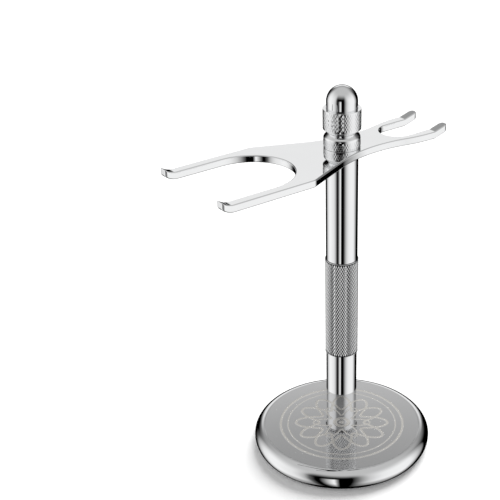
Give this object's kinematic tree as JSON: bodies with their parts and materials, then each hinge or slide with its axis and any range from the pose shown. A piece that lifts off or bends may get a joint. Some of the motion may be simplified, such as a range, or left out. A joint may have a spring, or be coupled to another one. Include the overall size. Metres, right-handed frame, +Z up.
{
  "type": "razor stand",
  "caption": "Chrome shaving stand: heavy round base, upright post with a knurled grip, and a turning forked plate that hangs a shaving brush and a safety razor.",
  "frame": {"origin": "centre of the base's underside", "axes": "+Z up along the post, whose axis is 28.9 mm towards +Y from the origin, so -Y is the front; +X to the right seen from the front"},
  "size_m": [0.1179, 0.1072, 0.1563],
  "materials": {
    "chrome": "polished",
    "steel": "zinc plated",
    "brass": "turned",
    "nylon": "natural nylon",
    "foam": "matt foam"
  },
  "bodies": {
    "stand": {"base_disc": "chrome", "base_pad": "foam", "base_screw": "steel", "base_lock_washer": "steel", "foot_post": "chrome", "lower_joint_stud": "steel", "grip_coupler": "chrome", "upper_joint_stud": "steel", "upper_post": "chrome", "upper_post_bottom_plug": "brass", "upper_post_top_plug": "brass", "top_stud": "steel", "swivel_washer": "nylon"},
    "holder": {"holder_plate": "chrome"},
    "clamp_ring": {"clamp_washer": "nylon"},
    "finial": {"clamp_nut": "chrome", "finial_collar": "chrome", "dome_cap": "chrome"}
  },
  "joints": [
    {"name": "holder_swivel", "type": "hinge", "parent": "stand", "child": "holder", "pos_m": [0, 0.0289, 0.12815], "axis": [0, 0, 1], "continuous": true},
    {"name": "finial_lift", "type": "slide", "parent": "stand", "child": "clamp_ring", "axis": [0, 0, 1], "range_m": [0, 0.005]},
    {"name": "finial_turn", "type": "hinge", "parent": "clamp_ring", "child": "finial", "pos_m": [0, 0.0289, 0.13003], "axis": [0, 0, 1], "range_deg": [0, 1800]}
  ],
  "couplings": [
    {"joint": "finial_turn", "follows": "finial_lift", "rad_per_m": 6283.2}
  ]
}
